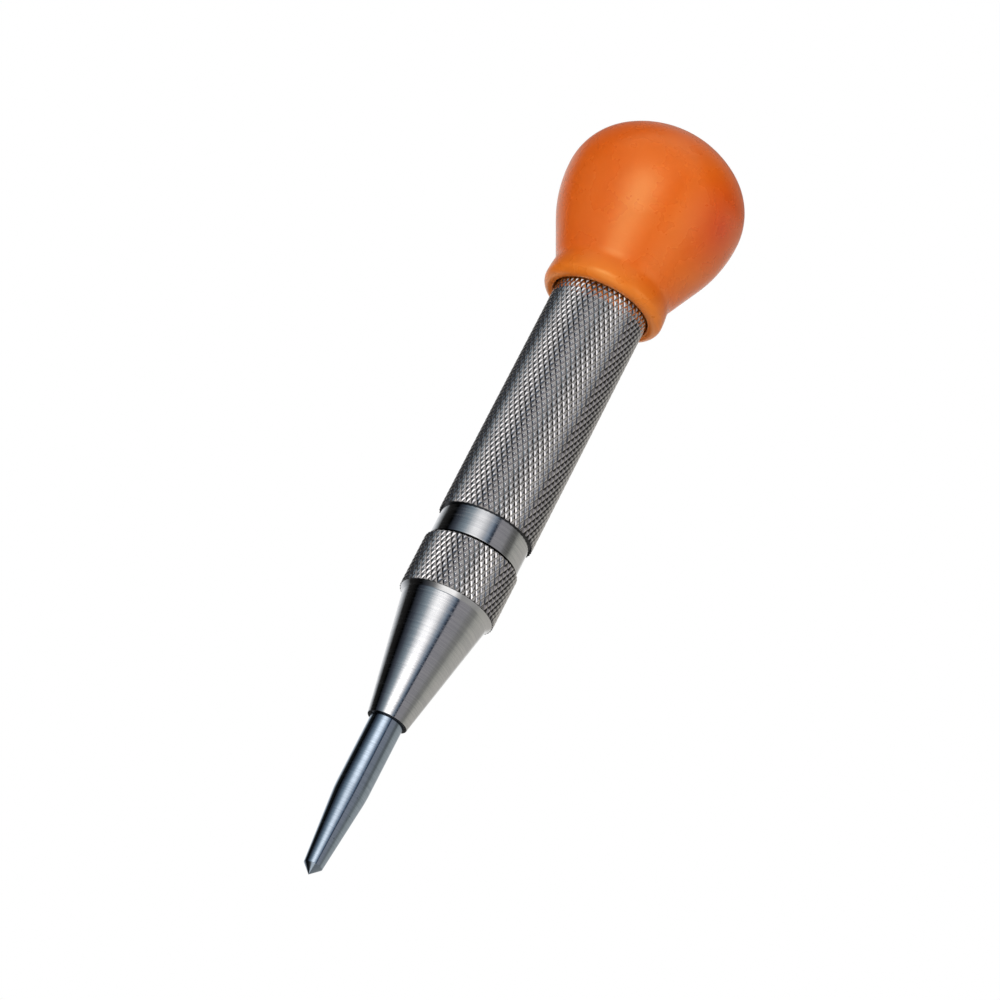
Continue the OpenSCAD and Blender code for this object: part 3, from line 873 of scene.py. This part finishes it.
def make_panel():
    """A glowing panel that shows only in reflections; it fades towards its edges."""
    a = math.radians(PANEL_SIDE)
    across = [(PANEL_DISTANCE * math.tan(math.radians(degrees)), share) for degrees, share in PANEL_ACROSS]
    left, right = across[0][0], across[-1][0]
    low, high = PANEL_UP[0][0], PANEL_UP[-1][0]
    bpy.ops.object.select_all(action="DESELECT")
    bpy.ops.mesh.primitive_plane_add(size=1)
    panel = bpy.context.object
    panel.name = "soft_panel"
    panel.data.transform(Matrix.Diagonal((right - left, high - low, 1, 1)))
    panel.data.transform(Matrix.Translation(((right + left) / 2, (high + low) / 2, 0)))
    way = Vector((math.sin(a), -math.cos(a), 0))
    side = Vector((math.cos(a), math.sin(a), 0))
    axes = Matrix((side, Vector((0, 0, 1)), way)).transposed()
    panel.matrix_world = Matrix.Translation(way * PANEL_DISTANCE) @ axes.to_4x4()
    material = bpy.data.materials.new("panel_glow")
    material.use_nodes = True
    tree = material.node_tree
    tree.nodes.clear()
    coordinate = tree.nodes.new("ShaderNodeTexCoord")
    split = tree.nodes.new("ShaderNodeSeparateXYZ")
    tree.links.new(coordinate.outputs["Object"], split.inputs["Vector"])
    sideways = span(tree, split.outputs["X"], left, right, 0.0, 1.0)
    upwards = span(tree, split.outputs["Y"], low, high, 0.0, 1.0)
    stops_across = [((x - left) / (right - left), grey(share)) for x, share in across]
    stops_up = [((y - low) / (high - low), grey(share)) for y, share in PANEL_UP]
    fade = mix(tree, 1.0, ramp(tree, sideways, stops_across), ramp(tree, upwards, stops_up), "MULTIPLY")
    glow = new_node(tree, "ShaderNodeEmission", Strength=PANEL_LEVEL)
    clear = tree.nodes.new("ShaderNodeBsdfTransparent")
    both = tree.nodes.new("ShaderNodeAddShader")
    output = tree.nodes.new("ShaderNodeOutputMaterial")
    tree.links.new(mix(tree, 1.0, fade, PANEL_COLOUR, "MULTIPLY"), glow.inputs["Color"])
    tree.links.new(glow.outputs["Emission"], both.inputs[0])
    tree.links.new(clear.outputs["BSDF"], both.inputs[1])
    tree.links.new(both.outputs["Shader"], output.inputs["Surface"])
    wear(panel, material)
    for ray in ("camera", "diffuse", "transmission", "volume_scatter", "shadow"):
        setattr(panel, "visible_" + ray, False)


# Lamps: name, degrees round the tool, degrees above it, distance, size and power
LAMPS = (
    ("key", -22, -3, 1.1, 0.6, 6.4),
    ("right", 50, 0, 1.2, 0.8, 5.3),
    ("left", -85, 5, 1.2, 0.8, 3.1),
    ("rear", 175, 10, 1.2, 0.8, 3.5),
    ("overhead", 0, 85, 1.2, 0.8, 3.5),
)


def make_lamps():
    """Large soft lamps; the surround takes their place in reflections."""
    for name, degrees, above, distance, size, power in LAMPS:
        a, e = math.radians(degrees), math.radians(above)
        back = Vector((math.sin(a) * math.cos(e), -math.cos(a) * math.cos(e), math.sin(e)))
        data = bpy.data.lights.new(name, "AREA")
        data.size = size
        data.energy = power
        lamp = bpy.data.objects.new(name, data)
        lamp.location = TARGET + back * distance
        lamp.rotation_mode = "QUATERNION"
        lamp.rotation_quaternion = back.to_track_quat("Z", "Y")
        lamp.visible_camera = False
        lamp.visible_glossy = False
        bpy.context.scene.collection.objects.link(lamp)


# Floor: its height, radius and sides, and its level and roughness
FLOOR_Z = -0.34
FLOOR_R = 3.0
FLOOR_SIDES = 96
FLOOR_LEVEL = 0.88
FLOOR_ROUGHNESS = 0.9
# As the camera sees it: glow and shade, and how far out the glow starts and ends its rise to white
FLOOR_GLOW = 0.8
FLOOR_SHADE = 0.15
FLOOR_NEAR = 0.15
FLOOR_FAR = 0.75


def make_floor():
    """A plain pale floor, well below the tool and the camera."""
    bpy.ops.object.select_all(action="DESELECT")
    bpy.ops.mesh.primitive_circle_add(vertices=FLOOR_SIDES, radius=FLOOR_R, fill_type="NGON",
                                      location=(0, 0, FLOOR_Z))
    floor = bpy.context.object
    floor.name = "floor"
    material, tree, shader = new_material("pale_floor")
    shader.inputs["Base Color"].default_value = (*grey(FLOOR_LEVEL), 1)
    shader.inputs["Roughness"].default_value = FLOOR_ROUGHNESS
    glow = new_node(tree, "ShaderNodeEmission", Color=(1, 1, 1, 1))
    away, _ = from_axis(tree)
    tree.links.new(span(tree, away, FLOOR_NEAR, FLOOR_FAR, FLOOR_GLOW, 1.0), glow.inputs["Strength"])
    shade = new_node(tree, "ShaderNodeBsdfDiffuse", Color=(*grey(FLOOR_SHADE), 1))
    seen = tree.nodes.new("ShaderNodeAddShader")
    path = tree.nodes.new("ShaderNodeLightPath")
    choose = tree.nodes.new("ShaderNodeMixShader")
    tree.links.new(glow.outputs["Emission"], seen.inputs[0])
    tree.links.new(shade.outputs["BSDF"], seen.inputs[1])
    tree.links.new(path.outputs["Is Camera Ray"], choose.inputs["Fac"])
    tree.links.new(shader.outputs["BSDF"], choose.inputs[1])
    tree.links.new(seen.outputs["Shader"], choose.inputs[2])
    tree.links.new(choose.outputs["Shader"], tree.nodes["Material Output"].inputs["Surface"])
    wear(floor, material)
    floor.visible_glossy = False


bpy.context.scene.view_settings.view_transform = "Standard"
make_camera()
make_world()
make_panel()
make_lamps()
make_floor()

# Turned steels: pale and deep colour, lowest and highest roughness
PLATED = ((0.82, 0.81, 0.80), (0.66, 0.66, 0.67), 0.05, 0.24)
# Painted shade on faces that point down: a near-black steel
DOWNWARD_SHADE = ((0.06, 0.06, 0.065), (0.02, 0.02, 0.022), 0.3, 0.45)
HARDENED = ((0.58, 0.67, 0.77), (0.42, 0.50, 0.59), 0.06, 0.2)
HARDENED_PITS = 0.7
TURNED = ((0.58, 0.59, 0.62), (0.40, 0.41, 0.44), 0.22, 0.36)
WIRE = ((0.40, 0.40, 0.42), (0.22, 0.22, 0.24), 0.25, 0.42)
WIRE_MARKS = 900.0
# Knurled plate: pale and deep colour, and the colour of the painted shade in the grooves
KNURLED_PLATE = ((0.93, 0.89, 0.875), (0.75, 0.715, 0.70), (0.08, 0.08, 0.08))

plated = turned_metal("bright_plated_steel", *PLATED)
knurled = knurled_metal("knurled_plated_steel", *KNURLED_PLATE)
# Painted shade for the faces that point down
shaded_ends = turned_metal("painted_shade_end_faces", *DOWNWARD_SHADE)
hardened = turned_metal("hardened_steel", *HARDENED, pitted=HARDENED_PITS, ground_to=POINT_R)
turned_steel = turned_metal("turned_steel", *TURNED)
spring_wire = turned_metal("spring_wire", *WIRE, along=WIRE_MARKS)
orange = cap_plastic()

wear(make_cap(), orange)
wear_knurl(make_barrel(), (plated, knurled, shaded_ends), GRIP_LOW, GRIP_HIGH)
wear_knurl(make_nose(), (plated, knurled, shaded_ends), COLLAR_KNURL_LOW, JOINT)
wear(make_punch(), hardened)

main_spring = make_spring("spring_main", main_low, main_high, Z, MAIN_WIRE_R, MAIN_TURNS,
                          "barrel", "main_spring")
return_spring = make_spring("spring_return", return_low, return_high, Z, RETURN_WIRE_R, RETURN_TURNS,
                            "punch", "return_spring")
latch_spring = make_spring("spring_latch", latch_spring_low, latch_spring_high, X, LATCH_WIRE_R,
                           LATCH_TURNS, "hammer", "latch_spring")
for piece in (main_spring, return_spring, latch_spring):
    wear(piece, spring_wire)
for node in ("adjusting_cap", "spring_seat", "hammer", "latch", "drive_pin"):
    wear(frame["nodes"][node], turned_steel)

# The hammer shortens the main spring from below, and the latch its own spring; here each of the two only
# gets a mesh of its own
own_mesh(main_spring)
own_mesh(latch_spring)
